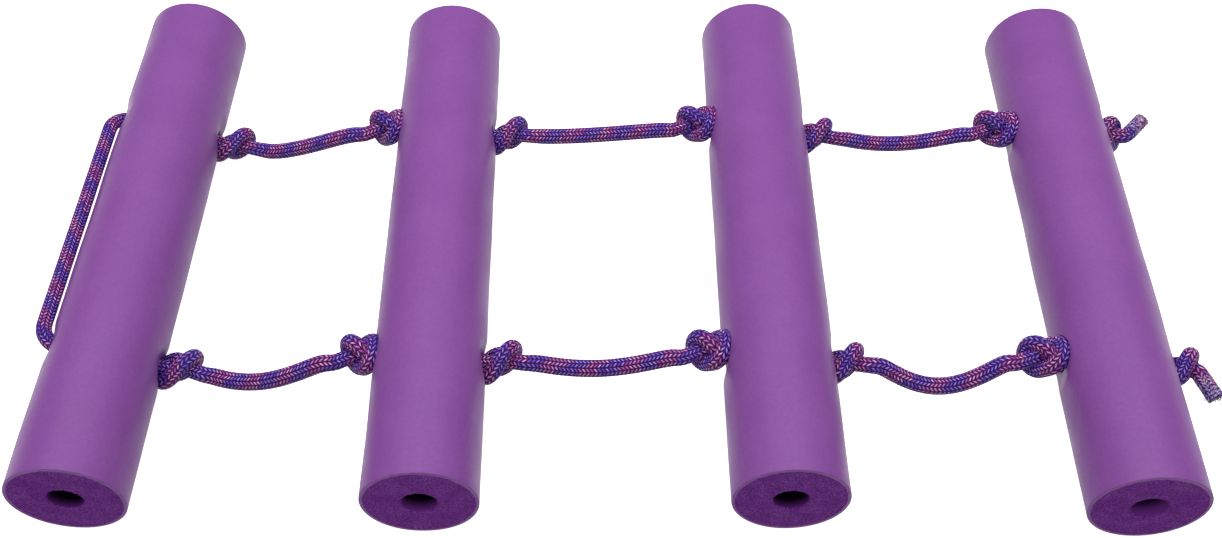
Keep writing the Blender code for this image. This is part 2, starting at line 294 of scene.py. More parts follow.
def hermite(start, leave, end, arrive, count):
    """A smooth curve that leaves its start and arrives at its end along two given directions."""
    t = np.linspace(0.0, 1.0, count)[:, None]
    return (
        start * (2 * t**3 - 3 * t**2 + 1)
        + leave * (t**3 - 2 * t**2 + t)
        + end * (3 * t**2 - 2 * t**3)
        + arrive * (t**3 - t**2)
    )


def span_points(number, rail):
    """The rope between two rungs, from joint to joint."""
    upper, lower = LADDER[number], LADDER[number + 1]
    start = upper.on_hole("foot", rail, upper.pivot)
    end = lower.on_hole("head", rail, lower.pivot)
    pull = SPAN_STIFFNESS * np.linalg.norm(end - start)
    leave, arrive = upper.headings["foot"] * pull, lower.headings["head"] * pull
    points = hermite(start, leave, end, arrive, SPAN_POINTS)
    slack = np.array([0.0, SPAN_BOWS[rail][number - 1], -SPAN_SAGS[rail][number - 1]])
    share = np.sin(math.pi * np.linspace(0.0, 1.0, SPAN_POINTS)) ** 1.5
    return points + slack * share[:, None]


def sleeve_axis(rail):
    """A sleeve's middle and its direction, away from the ladder."""
    sleeve = node_points(f"end_sleeve_{rail}")
    middle = sleeve.mean(axis=0)
    axis = np.linalg.svd(sleeve - middle)[2][0]
    return middle, axis * math.copysign(1.0, float(axis @ (middle - LADDER[RUNGS[-1]].middle)))


def tail_points(knot_end, rail):
    """The rope from the end knot round into its sleeve, and out at the sleeve's far end."""
    middle, axis = sleeve_axis(rail)
    mouth = middle - axis * (SLEEVE_LENGTH / 2 + TAIL_LEAD)
    tip = middle + axis * (SLEEVE_LENGTH / 2 + TAIL_PAST_SLEEVE)
    leave = unit(knot_end[-1] - knot_end[-3])
    pull = TAIL_STIFFNESS * np.linalg.norm(mouth - knot_end[-1])
    bend = hermite(knot_end[-1], leave * pull, mouth, axis * pull, 25)
    return np.concatenate([bend, [tip]])


def loop_points():
    """The hanging loop: out of rung 1's left hole, along its head side and back in on the right."""
    rung = LADDER[1]
    half = HOLE_SPACING / 2
    corner = LOOP_STANDOFF - LOOP_BEND
    angles = np.linspace(0.0, math.pi / 2, 13)
    bend = np.stack(
        [
            -corner - LOOP_BEND * np.sin(angles),
            half - LOOP_BEND * (1 - np.cos(angles)),
            np.zeros(len(angles)),
        ],
        axis=1,
    )
    right = np.concatenate([[[-LOOP_LEAD, half, 0.0]], bend])
    left = right * (1.0, -1.0, 1.0)
    route = np.concatenate([left, right[::-1]])
    return rung.middle + route @ rung.hole_axes("head")


def rail_runs(rail, knot):
    """The rope down one rail, from rung 1's head hole to the tail's tip, as (piece name, points) runs."""
    runs = []
    knot_depth = KNOT_MIDDLE - KNOT_REACH * KNOT_UNIT
    half_span = SPAN_POINTS // 2
    for number in RUNGS:
        rung = LADDER[number]
        if number > RUNGS[0]:
            arriving = span_points(number - 1, rail)[half_span:]
            tied = np.concatenate([arriving, place_knot(knot, rung, "head", rail)])
            runs.append((f"knot_rope_{number}_head_{rail}", tied))
        start = rung.on_hole("head", rail, LOOP_LEAD if number == 1 else knot_depth)
        centre = rung.on_hole("head", rail, 0.0)
        end = rung.on_hole("foot", rail, knot_depth - knot_sink(rung, "foot", rail))
        runs.append((f"inner_rope_{number}_{rail}", np.array([start, centre, end])))
        tied = place_knot(knot, rung, "foot", rail)
        if number < RUNGS[-1]:
            leaving = span_points(number, rail)[: half_span + 1]
            runs.append((f"knot_rope_{number}_foot_{rail}", np.concatenate([tied, leaving])))
            continue
        cut = place_knot(overhand(np.array([KNOT_END_CUT])), rung, "foot", rail)[0]
        last = int(np.argmin(np.linalg.norm(tied - cut, axis=1)))
        end_knot = tied[: last + 1]
        runs.append((f"end_knot_rope_{rail}", end_knot))
        runs.append((f"tail_rope_{rail}", tail_points(end_knot, rail)))
    return runs


def smooth_along(values, reach):
    """Values along the rope, each averaged with its neighbours over about reach metres."""
    sigma = reach / ROPE_STEP
    half = int(math.ceil(3 * sigma))
    weights = np.exp(-0.5 * (np.arange(-half, half + 1) / sigma) ** 2)
    weights /= weights.sum()
    values = values.reshape(len(values), -1)
    before = 2 * values[0] - values[half:0:-1]
    after = 2 * values[-1] - values[-2 : -half - 2 : -1]
    padded = np.concatenate([before, values, after])
    return np.stack([np.convolve(column, weights, mode="valid") for column in padded.T], axis=1)


def carry_frame(points):
    """Two directions across the rope at each point, carried along it without twist."""
    tangents = np.gradient(points, axis=0)
    tangents /= np.linalg.norm(tangents, axis=1)[:, None]
    across = np.zeros_like(points)
    across[0] = unit(np.cross(tangents[0], (0.3, 0.2, 1.0)))
    for i in range(1, len(points)):
        carried = across[i - 1] - tangents[i] * (across[i - 1] @ tangents[i])
        across[i] = carried / math.sqrt(carried @ carried)
    return across, np.cross(tangents, across)


class Rope:
    """The whole rope: its points, the arc length at each, the piece each belongs to, and its frame."""

    def __init__(self):
        knot = tighten_knot(KNOT_ROUNDS)
        left, right = rail_runs("left", knot), rail_runs("right", knot)
        upward = [(name, points[::-1]) for name, points in reversed(left)]
        runs = upward + [("loop_rope", loop_points())] + right
        owners, pieces = [], []
        last = None
        for index, (name, points) in enumerate(runs):
            if last is not None:
                points = np.concatenate([last[None], points])
            points = points[np.r_[True, np.linalg.norm(np.diff(points, axis=0), axis=1) > 1e-6]]
            last = points[-1]
            fine = resample(points, ROPE_STEP)
            fine = fine if index == 0 else fine[1:]
            pieces.append(fine)
            owners.append(np.full(len(fine), index))
        self.names = [name for name, _ in runs]
        self.owner = np.concatenate(owners)
        self.points = smooth_along(np.concatenate(pieces), ROPE_SMOOTHING)
        steps = np.linalg.norm(np.diff(self.points, axis=0), axis=1)
        self.length = np.concatenate([[0.0], np.cumsum(steps)])
        self.across, self.third = carry_frame(self.points)
        self.radius = smooth_along(self.slack_and_tight(), RADIUS_SMOOTHING)[:, 0]

    def slack_and_tight(self):
        """The rope's radius at each point, before it is evened out along the rope."""
        radius = np.full(len(self.points), KNOT_RADIUS)
        radius[self.owner == self.names.index("loop_rope")] = TAUT_RADIUS
        for rail in RAILS:
            radius[self.owner == self.names.index(f"tail_rope_{rail}")] = TAIL_RADIUS
        for number, side, rail in KNOTS:
            away = self.points - LADDER[number].on_hole(side, rail, KNOT_MIDDLE)
            span = np.linalg.norm(away, axis=1) > KNOT_CORE
            mine = self.owner == self.names.index(f"knot_rope_{number}_{side}_{rail}")
            radius[mine & span] = SLACK_RADIUS
        return radius

    def rows(self, name):
        """The first and last point of a piece; neighbours share the point where they are cut."""
        mine = np.flatnonzero(self.owner == self.names.index(name))
        return max(mine[0] - 1, 0), mine[-1]


# The rope's mesh


def braid_relief(column, row):
    """How far each point of the braid stands out, from 0 between stitches to 1 on a stitch's back."""
    which = np.floor(column)
    x = column - which - 0.5
    slant = np.where(which % 2 == 0, BRAID_SLANT, -BRAID_SLANT)
    y = (row + slant * x) % 1.0 - 0.5
    side = np.clip((0.5 - np.abs(x)) / 0.24, 0.0, 1.0)
    end = np.clip((0.5 - np.abs(y)) / 0.26, 0.0, 1.0)
    return side * (2 - side) * end * (2 - end)


def rope_mesh(rope, name):
    """The braided tube of one piece of the rope, closed at both ends, with its braid's UV map."""
    first, last = rope.rows(name)
    count = last - first + 1
    columns = np.arange(ROPE_SIDES) * BRAID_COLUMNS / ROPE_SIDES
    rows = rope.length[first : last + 1] / BRAID_PITCH
    relief = braid_relief(columns[None, :], rows[:, None])
    radius = rope.radius[first : last + 1, None] + BRAID_RELIEF * relief
    angle = math.tau * columns / BRAID_COLUMNS
    across = rope.across[first : last + 1, None]
    third = rope.third[first : last + 1, None]
    outward = across * np.cos(angle)[None, :, None] + third * np.sin(angle)[None, :, None]
    skin = rope.points[first : last + 1, None] + outward * radius[..., None]
    middles = rope.points[[first, last]]
    vertices = np.concatenate([skin.reshape(-1, 3), middles])

    ring = np.arange(ROPE_SIDES)
    following = (ring + 1) % ROPE_SIDES
    base = np.arange(count - 1)[:, None] * ROPE_SIDES
    quads = np.stack(
        [base + ring, base + following, base + ROPE_SIDES + following, base + ROPE_SIDES + ring], axis=2
    ).reshape(-1, 4)
    top = (count - 1) * ROPE_SIDES
    middle = count * ROPE_SIDES
    start_cap = [(middle, f, r) for r, f in zip(ring.tolist(), following.tolist())]
    end_cap = [(middle + 1, top + r, top + f) for r, f in zip(ring.tolist(), following.tolist())]
    mesh = bpy.data.meshes.new(name)
    mesh.from_pydata(vertices.tolist(), [], quads.tolist() + start_cap + end_cap)

    right = (ring + 1) * BRAID_COLUMNS / ROPE_SIDES
    u = np.stack([columns, right, right, columns], axis=1)
    u = np.broadcast_to(u[None], (count - 1, ROPE_SIDES, 4)).reshape(-1)
    v = np.stack([rows[:-1], rows[:-1], rows[1:], rows[1:]], axis=1)
    v = np.broadcast_to(v[:, None], (count - 1, ROPE_SIDES, 4)).reshape(-1)
    cap_u = np.tile([0.5, 0.5, 0.5], 2 * ROPE_SIDES)
    cap_v = np.repeat([rows[0], rows[-1]], 3 * ROPE_SIDES)
    uv = np.stack([np.concatenate([u, cap_u]), np.concatenate([v, cap_v])], axis=1)
    mesh.uv_layers.new(name="braid").data.foreach_set("uv", uv.astype(np.float32).ravel())
    mesh.shade_smooth()
    mesh.update()
    return mesh


def add_piece(name, mesh, material):
    piece = bpy.data.objects.new(name, mesh)
    bpy.context.scene.collection.objects.link(piece)
    mesh.materials.append(material)
    return piece


def add_stretch(rope, name, material):
    """One piece of the rope, by its name."""
    return add_piece(name, rope_mesh(rope, name), material)


def add_rope(rope, material):
    for rail in RAILS:
        for number in RUNGS:
            inner = add_stretch(rope, f"inner_rope_{number}_{rail}", material)
            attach(inner, f"rung_{number}")
            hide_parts(f"rope_through_{number}_{rail}")
            if number > RUNGS[0]:
                add_knot(rope, material, number, "head", rail)
            if number < RUNGS[-1]:
                add_knot(rope, material, number, "foot", rail)
        for name, node in ((f"end_knot_rope_{rail}", "end_knot"), (f"tail_rope_{rail}", "tail")):
            end = add_stretch(rope, name, material)
            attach(end, f"rung_{RUNGS[-1]}")
            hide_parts(f"{node}_{rail}")


def add_knot(rope, material, number, side, rail):
    """A knot with its half of the next bay's rope."""
    piece = add_stretch(rope, f"knot_rope_{number}_{side}_{rail}", material)
    upper = number if side == "foot" else number - 1
    bay = f"{upper}{upper + 1}"
    rung = LADDER[number]
    rung.on_hole(side, rail, rung.pivot - BLEND_REACH)
    rung.on_hole(side, rail, rung.pivot + BLEND_REACH)
    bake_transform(piece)
    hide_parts(f"knot_{number}_{side}_{rail}", f"rope_span_{bay}_{rail}")


def add_loop(rope, material):
    loop = add_stretch(rope, "loop_rope", material)
    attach(loop, "rung_1")
    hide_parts("hanging_loop")
    first, last = rope.rows("loop_rope")


# The foam rungs


def spread_angles(foot_angle, head_angle):
    """The rung's columns, as angles round its axis, closer together near its two rows of holes."""
    half_width = math.radians(34)
    extra = 2.2  # how much denser the columns are there, less the usual 1
    fine = np.linspace(0.0, math.tau, 721)
    near = np.zeros(len(fine))
    for centre in (foot_angle, head_angle):
        away = (fine - centre + math.pi) % math.tau - math.pi
        near += np.exp(-((away / half_width) ** 4))
    density = 1.0 + extra * near
    share = np.concatenate([[0.0], np.cumsum((density[1:] + density[:-1]) / 2)])
    return np.interp(np.arange(RUNG_COLUMNS) / RUNG_COLUMNS, share / share[-1], fine)


def skin_stations():
    """Places along the rung for its skin's rings, closer together round the holes."""
    half = RUNG_LENGTH / 2 - RIM_ROUND
    hole = HOLE_SPACING / 2
    coarse_end = np.linspace(-half, -hole - HOLE_WINDOW, 19)[:-1]
    fine = np.linspace(-hole - HOLE_WINDOW, -hole + HOLE_WINDOW, 53)
    coarse_middle = np.linspace(-hole + HOLE_WINDOW, hole - HOLE_WINDOW, 38)[1:-1]
    return np.concatenate([coarse_end, fine, coarse_middle, -fine[::-1], -coarse_end[::-1]])


def rung_profile():
    """The foam's closed outline as (radius, place along, surface): 0 is skin, 1 a cut end, 2 the bore."""
    half = RUNG_LENGTH / 2
    corner = np.linspace(0.0, math.pi / 2, 5)[1:]
    skin = [(RUNG_RADIUS, y, 0) for y in skin_stations()]
    rim = [
        (RUNG_RADIUS - RIM_ROUND * (1 - math.cos(a)), half - RIM_ROUND * (1 - math.sin(a)), 0)
        for a in corner
    ]
    inner = BORE_RADIUS + 0.0006
    face = [(r, half, 1) for r in np.linspace(RUNG_RADIUS - RIM_ROUND, inner, 16)[1:]]
    lip = [(BORE_RADIUS, half - 0.0008, 1)]
    end = rim + face + lip
    bore = [(BORE_RADIUS, y, 2) for y in np.linspace(half, -half, 34)[1:-1]]
    other_end = [(r, -y, surface) for r, y, surface in reversed(end)]
    return skin + end + bore + other_end


def pressed_depth(points, normals, rope_points, limit):
    """How far the foam's skin has to give way, inwards, to clear the rope and sink under its knots."""
    depth = np.full(len(points), -1.0)
    block = 400  # rope points at a time, to save memory
    for start in range(0, len(rope_points), block):
        offsets = points[:, None] - rope_points[None, start : start + block]
        height = np.einsum("ijk,ik->ij", offsets, normals)
        beside = np.einsum("ijk,ijk->ij", offsets, offsets) - height**2
        room = FOAM_CLEARANCE**2 - beside
        reach = np.where(room > 0, height + np.sqrt(np.maximum(room, 0.0)), -1.0)
        depth = np.maximum(depth, reach.max(axis=1))
    return np.minimum(depth, limit)


def skin_waves(angle, along, seed):
    """The foam's slight unevenness, in metres."""
    draws = np.random.default_rng(seed)
    waves = np.zeros(len(angle))
    for _ in range(9):
        turns = draws.integers(1, 6)
        per_metre = draws.uniform(10, 90)
        phase = draws.uniform(0, math.tau, 2)
        waves += np.sin(turns * angle + phase[0]) * np.sin(per_metre * along + phase[1])
    return FOAM_UNEVENNESS * waves


def closed_grid(rows, columns):
    """The quads of a grid of points that closes on itself both ways."""
    row = np.arange(rows)[:, None]
    column = np.arange(columns)[None]
    next_row, next_column = (row + 1) % rows, (column + 1) % columns
    corners = [
        row * columns + column,
        next_row * columns + column,
        next_row * columns + next_column,
        row * columns + next_column,
    ]
    return np.stack(corners, axis=2).reshape(-1, 4)


def rung_mesh(rung, rope, draws):
    """A rung's foam tube, pressed in by the rope and its knots."""
    angle_of = {}
    for side in SIDES:
        outwards = rung.outwards(side)
        angle_of[side] = math.atan2(outwards[2], outwards @ rung.level)
    angles = spread_angles(angle_of["foot"], angle_of["head"])
    profile = rung_profile()
    radius = np.array([row[0] for row in profile])
    along = np.array([row[1] for row in profile])
    surface = np.array([row[2] for row in profile])
    rows, columns = len(profile), len(angles)

    upward = np.array([0.0, 0.0, 1.0])
    outward = np.outer(np.cos(angles), rung.level) + np.outer(np.sin(angles), upward)
    normals = np.broadcast_to(outward[None], (rows, columns, 3)).reshape(-1, 3)
    radii = np.repeat(radius, columns)
    places = np.repeat(along, columns)
    turns = np.tile(angles, rows)
    on_skin = np.repeat(surface == 0, columns)
    on_face = np.repeat(surface == 1, columns)
    points = rung.middle + rung.along * places[:, None] + normals * radii[:, None]

    depth = np.zeros(len(points))
    waves = skin_waves(turns, places, rung.number)
    depth[on_skin] = waves[on_skin]
    for rail in RAILS:
        near_rail = on_skin & (np.abs(places - RAILS[rail] * HOLE_SPACING / 2) < PRESSED_REACH)
        centre = rung.middle + rung.along * RAILS[rail] * HOLE_SPACING / 2
        for side in SIDES:
            outwards = rung.outwards(side)
            sink = knot_sink(rung, side, rail)
            limit = HOLE_DEPTH + sink
            facing = normals @ outwards > 0.2
            chosen = np.flatnonzero(near_rail & facing)
            close = np.linalg.norm(rope.points - centre, axis=1) < PRESSING_ROPE
            nearby = close & ((rope.points - centre) @ outwards > RUNG_RADIUS - limit)
            needed = pressed_depth(points[chosen], normals[chosen], rope.points[nearby], limit)
            mouth = centre + outwards * RUNG_RADIUS
            away = np.linalg.norm(points[chosen] - mouth, axis=1)
            bowl = np.clip(1 - (away / (DIMPLE_RADIUS + sink)) ** 2, 0, 1) ** 1.4
            deepest = LOOP_DIMPLE if (rung.number, side) == (1, "head") else DIMPLE_DEPTH + sink / 2
            soft = depth[chosen] + deepest * bowl
            depth[chosen] = np.maximum(soft, needed)
    points -= normals * depth[:, None]

    cut_marks = draws.normal(0.0, CUT_ROUGHNESS, len(points))
    outward_end = np.sign(places)
    points += rung.along * (on_face * cut_marks * outward_end)[:, None]

    mesh = bpy.data.meshes.new(f"foam_rung_{rung.number}")
    mesh.from_pydata(points.tolist(), [], closed_grid(rows, columns).tolist())
    following = np.roll(surface, -1)
    of_face = np.where(surface == 0, np.where(following == 1, 1, 0), surface)
    of_face = np.where((surface == 1) & (following == 0), 0, of_face)
    mesh.polygons.foreach_set("material_index", np.repeat(of_face, columns).astype(np.int32))
    mesh.shade_smooth()
    mesh.update()
    return mesh


def add_rungs(rope, skin, cut, bore):
    draws = np.random.default_rng(7)
    for rung in LADDER.values():
        mesh = rung_mesh(rung, rope, draws)
        piece = add_piece(f"foam_rung_{rung.number}", mesh, skin)
        mesh.materials.append(cut)
        mesh.materials.append(bore)
        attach(piece, f"rung_{rung.number}")
        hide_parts(f"rung_{rung.number}")


# The sleeves


def directions_across(axis):
    """Two directions at right angles to an axis and to each other."""
    across = unit(np.cross(axis, (0.2, 0.1, 1.0)))
    return across, np.cross(axis, across)


def sleeve_mesh(name, middle, axis, flare, notches):
    """A thin clear shrink tube, a little crumpled. Its far end flares, and tears in as many notches."""
    draws = np.random.default_rng(3)
    sides, rings = 72, 26
    wall = 0.0004
    across, third = directions_across(axis)
    angles = np.arange(sides) * math.tau / sides
    torn = np.zeros(sides)
    for _ in range(notches):
        centre, width = draws.uniform(0, math.tau), draws.uniform(0.16, 0.4)
        away = (angles - centre + math.pi) % math.tau - math.pi
        torn += draws.uniform(0.0012, 0.0032) * np.exp(-((away / width) ** 2))
    phases = draws.uniform(0, math.tau, 6)
    outer, inner = [], []
    for ring in range(rings):
        t = ring / (rings - 1)
        along = -SLEEVE_LENGTH / 2 + t * SLEEVE_LENGTH - torn * t**4
        pucker = 0.00016 * np.sin(3 * angles + phases[0] + 5 * t) * np.sin(9 * t + phases[1])
        pucker += 0.00010 * np.sin(7 * angles + phases[2]) * np.sin(21 * t + phases[3])
        widen = flare * max(0.0, (t - 0.6) / 0.4) ** 2 * (1 + 0.5 * np.sin(2 * angles + phases[4]))
        neck = 0.0002 * math.exp(-((t - 0.08) / 0.06) ** 2)
        radius = SLEEVE_RADIUS - neck + pucker + widen
        direction = across * np.cos(angles)[:, None] + third * np.sin(angles)[:, None]
        centre = middle + axis * along[:, None]
        outer.append(centre + direction * radius[:, None])
        inner.append(centre + direction * (radius - wall)[:, None])
    grid = np.array(outer + inner[::-1])
    quads = closed_grid(len(grid), sides)[:, [0, 3, 2, 1]]
    mesh = bpy.data.meshes.new(name)
    mesh.from_pydata(grid.reshape(-1, 3).tolist(), [], quads.tolist())
    mesh.shade_smooth()
    mesh.set_sharp_from_angle(angle=math.radians(50))
    mesh.update()
    return mesh


def frayed_mesh(name, middle, axis):
    """Torn film and loose filaments round the rope's cut end: short tapering wisps that flare out."""
    draws = np.random.default_rng(5)
    across, third = directions_across(axis)
    rim = middle + axis * (SLEEVE_LENGTH / 2 - 0.0006)
    joints, sides = 6, 5
    vertices, faces = [], []
    for _ in range(WISPS):
        angle = draws.uniform(0, math.tau)
        outward = across * math.cos(angle) + third * math.sin(angle)
        sideways = np.cross(axis, outward)
        length = draws.uniform(0.0012, 0.0042)
        thick = draws.uniform(0.00012, 0.00034)
        lean = draws.uniform(0.2, 1.1)
        curl = draws.uniform(-0.6, 0.6)
        root = rim + outward * draws.uniform(0.0030, 0.0052)
        first = len(vertices)
        for joint in range(joints):
            t = joint / (joints - 1)
            forward = axis * t + outward * lean * t**1.6 + sideways * curl * t**2
            centre = root + forward * length
            width = thick * (1 - 0.85 * t)
            for side in range(sides):
                turn = math.tau * side / sides
                vertices.append(centre + (outward * math.cos(turn) + sideways * math.sin(turn)) * width)
        for joint in range(joints - 1):
            for side in range(sides):
                a = first + joint * sides + side
                b = first + joint * sides + (side + 1) % sides
                faces.append((a, b, b + sides, a + sides))
        faces.append(tuple(first + side for side in reversed(range(sides))))
        faces.append(tuple(first + (joints - 1) * sides + side for side in range(sides)))
    mesh = bpy.data.meshes.new(name)
    mesh.from_pydata([tuple(v) for v in vertices], [], faces)
    mesh.shade_smooth()
    mesh.update()
    return mesh


def add_sleeves(clear, singed):
    body = f"rung_{RUNGS[-1]}"
    for rail in RAILS:
        middle, axis = sleeve_axis(rail)
        name = f"clear_end_{rail}"
        mesh = sleeve_mesh(name, middle, axis, SLEEVE_FLARES[rail], SLEEVE_NOTCHES[rail])
        piece = add_piece(name, mesh, clear)
        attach(piece, body)
        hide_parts(f"end_sleeve_{rail}")
        if SLEEVE_NOTCHES[rail]:
            name = f"frayed_end_{rail}"
            wisps = add_piece(name, frayed_mesh(name, middle, axis), singed)
            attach(wisps, body)


# Materials


def linear(*srgb):
    """A colour given as 0 to 255 on screen, as the shader's linear numbers."""
    share = [value / 255 for value in srgb]
    return tuple(s / 12.92 if s <= 0.04045 else ((s + 0.055) / 1.055) ** 2.4 for s in share) + (1.0,)


class Nodes:
    """Short names for building a material's node tree."""

    def __init__(self, name):
        self.material = bpy.data.materials.new(name)
        self.material.use_nodes = True
        self.tree = self.material.node_tree
        self.shader = self.tree.nodes["Principled BSDF"]

    def add(self, kind, **settings):
        node = self.tree.nodes.new(kind)
        for name, value in settings.items():
            setattr(node, name, value)
        return node

    def plug(self, socket, value):
        if isinstance(value, bpy.types.NodeSocket):
            self.tree.links.new(value, socket)
        else:
            socket.default_value = value

    def math(self, operation, *values):
        node = self.add("ShaderNodeMath", operation=operation)
        for index, value in enumerate(values):
            self.plug(node.inputs[index], value)
        return node.outputs[0]

    def step(self, value, low, high, to_low=0.0, to_high=1.0):
        """value eased from low..high to to_low..to_high."""
        node = self.add("ShaderNodeMapRange", interpolation_type="SMOOTHSTEP")
        for index, number in enumerate((value, low, high, to_low, to_high)):
            self.plug(node.inputs[index], number)
        return node.outputs[0]

    def mix(self, share, first, second, blend_type="MIX"):
        node = self.add("ShaderNodeMix", data_type="RGBA", blend_type=blend_type)
        self.plug(node.inputs["Factor"], share)
        self.plug(node.inputs[6], first)
        self.plug(node.inputs[7], second)
        return node.outputs[2]

    def noise(self, vector, scale, detail=2.0, roughness=0.5):
        node = self.add("ShaderNodeTexNoise")
        self.plug(node.inputs["Vector"], vector)
        self.plug(node.inputs["Scale"], scale)
        self.plug(node.inputs["Detail"], detail)
        self.plug(node.inputs["Roughness"], roughness)
        return node.outputs[0]

    def cells(self, vector, scale, feature="F1"):
        node = self.add("ShaderNodeTexVoronoi", feature=feature)
        self.plug(node.inputs["Vector"], vector)
        self.plug(node.inputs["Scale"], scale)
        return node.outputs["Distance"]

    def bump(self, height, distance, strength=1.0, normal=None):
        node = self.add("ShaderNodeBump")
        self.plug(node.inputs["Height"], height)
        self.plug(node.inputs["Distance"], distance)
        self.plug(node.inputs["Strength"], strength)
        if normal is not None:
            self.plug(node.inputs["Normal"], normal)
        return node.outputs[0]

    def place(self):
        return self.add("ShaderNodeTexCoord").outputs["Object"]

    def set(self, **values):
        for name, value in values.items():
            self.plug(self.shader.inputs[name.replace("_", " ")], value)


def rope_material():
    """Braided yarn: alternate columns of stitches slant opposite ways, in pink and violet bands that
    wind round the rope, with a painted highlight on each stitch's back and painted shade between
    stitches."""
    n = Nodes("braided_yarn")
    uv = n.add("ShaderNodeUVMap", uv_map="braid")
    split = n.add("ShaderNodeSeparateXYZ")
    n.plug(split.inputs[0], uv.outputs[0])
    column, row = split.outputs[0], split.outputs[1]
    which = n.math("FLOOR", column)
    x = n.math("SUBTRACT", n.math("FRACT", column), 0.5)
    odd = n.math("GREATER_THAN", n.math("FRACT", n.math("MULTIPLY", which, 0.5)), 0.25)
    slant = n.math("MULTIPLY_ADD", odd, -2 * BRAID_SLANT, BRAID_SLANT)
    slanted = n.math("MULTIPLY_ADD", slant, x, row)
    stitch = n.math("FLOOR", slanted)
    y = n.math("SUBTRACT", n.math("FRACT", slanted), 0.5)
    side = n.step(n.math("ABSOLUTE", x), 0.5, 0.22)
    end = n.step(n.math("ABSOLUTE", y), 0.48, 0.06)
    back = n.math("MULTIPLY", side, end)

    each = n.add("ShaderNodeTexWhiteNoise", noise_dimensions="2D")
    key = n.add("ShaderNodeCombineXYZ")
    n.plug(key.inputs[0], which)
    n.plug(key.inputs[1], stitch)
    n.plug(each.inputs["Vector"], key.outputs[0])
    luck = each.outputs["Value"]

    drift = n.math("MULTIPLY_ADD", luck, BAND_RAGGEDNESS, stitch)
    spiral = n.math("DIVIDE", which, float(BRAID_COLUMNS))
    phase = n.math("MULTIPLY_ADD", drift, 1 / BAND_ROWS, spiral)
    violet = n.math("GREATER_THAN", n.math("FRACT", phase), 0.5)
    yarn = n.mix(violet, linear(166, 36, 168), linear(104, 36, 188))
    # painted highlight: glint is a near-white colour painted on the back of each stitch, at a random
    # strength set by light
    glint = n.mix(violet, linear(255, 200, 252), linear(200, 162, 250))
    # painted shade: shadow is a dark colour painted in the gaps between stitches
    shadow = n.mix(violet, linear(56, 4, 70), linear(30, 6, 90))
    light = n.math("MULTIPLY", n.step(back, 0.6, 1.0), n.math("MULTIPLY_ADD", luck, 0.92, 0.08))
    colour = n.mix(light, yarn, glint)
    colour = n.mix(n.step(back, 0.05, 0.7), shadow, colour)

    filaments = n.math("SINE", n.math("MULTIPLY", y, math.tau * BRAID_FILAMENTS))
    height = n.math("MULTIPLY_ADD", filaments, 0.10, back)
    n.set(
        Base_Color=colour,
        Roughness=0.55,
        Specular_IOR_Level=0.3,
        Normal=n.bump(height, 0.0006, 0.8),
    )
    return n.material


def foam_material():
    """The foam's closed skin: satin, slightly mottled, with a fine dimpled grain."""
    n = Nodes("foam_skin")
    place = n.place()
    clouds = n.step(n.noise(place, 28.0, 3.0), 0.3, 0.7)
    specks = n.step(n.noise(place, 420.0, 3.0, 0.6), 0.35, 0.65)
    colour = n.mix(clouds, linear(135, 77, 156), linear(139, 81, 160))
    colour = n.mix(n.math("MULTIPLY", specks, 0.14), colour, linear(108, 52, 132))
    grain = n.noise(place, 900.0, 2.0)
    lumps = n.noise(place, 120.0, 2.0)
    normal = n.bump(lumps, 0.0006, 0.35)
    n.set(
        Base_Color=colour,
        Roughness=n.step(clouds, 0.0, 1.0, 0.40, 0.48),
        Specular_IOR_Level=0.19,
        Normal=n.bump(grain, 0.0002, 0.45, normal),
    )
    return n.material


def cut_foam_material():
    """The sawn ends: open cells, darker than the skin, with painted shade in the cells' pits."""
    n = Nodes("foam_cut_end")
    place = n.place()
    cells = n.cells(place, 1000.0)
    pit_shade = n.step(cells, 0.2, 0.7)
    patches = n.step(n.noise(place, 90.0, 3.0), 0.3, 0.7)
    colour = n.mix(patches, linear(152, 56, 186), linear(170, 80, 204))
    # painted shade: the cells' pits are coloured a deeper, darker purple
    colour = n.mix(n.math("MULTIPLY", pit_shade, 0.75), colour, linear(86, 24, 116))
    n.set(Base_Color=colour, Roughness=0.9, Specular_IOR_Level=0.15, Normal=n.bump(cells, 0.0006, 0.7))
    return n.material


def bore_material():
    """The moulded bore, with painted shade: coloured near black away from its two mouths."""
    n = Nodes("foam_bore")
    place = n.place()
    split = n.add("ShaderNodeSeparateXYZ")
    n.plug(split.inputs[0], place)
    streaks = n.noise(place, 300.0, 2.0)
    from_middle = n.math("ABSOLUTE", split.outputs[1])
    mouth = RUNG_LENGTH / 2
    # painted shade: the colour goes from the foam's own at the mouths to near black deeper in
    lit = n.step(from_middle, mouth - 0.009, mouth + 0.001)
    shade = n.mix(streaks, linear(8, 1, 18), linear(18, 4, 32))
    colour = n.mix(lit, shade, linear(134, 60, 164))
    n.set(Base_Color=colour, Roughness=0.95, Specular_IOR_Level=0.05, Normal=n.bump(streaks, 0.0004, 0.4))
    return n.material


def clear_material():
    """Clear shrink tube, faintly lilac, its crumpled film given by bump and roughness; painted
    highlights: short near-white, more opaque streaks stand in for the light it catches.
    """
    n = Nodes("clear_tube")
    crumples_and_glints = n.noise(n.place(), 700.0, 4.0, 0.7)
    # painted highlight: where this mask is high the film is coloured near white and made more opaque, as
    # glints
    painted_glints = n.step(crumples_and_glints, 0.52, 0.62)
    n.set(
        Base_Color=n.mix(painted_glints, linear(116, 84, 150), linear(250, 232, 255)),
        Roughness=n.step(crumples_and_glints, 0.3, 0.7, 0.10, 0.25),
        IOR=1.5,
        Alpha=n.math("MULTIPLY_ADD", painted_glints, 0.50, 0.05),
        Coat_Weight=1.0,
        Coat_Roughness=0.05,
        Normal=n.bump(crumples_and_glints, 0.0002, 0.3),
    )
    return n.material


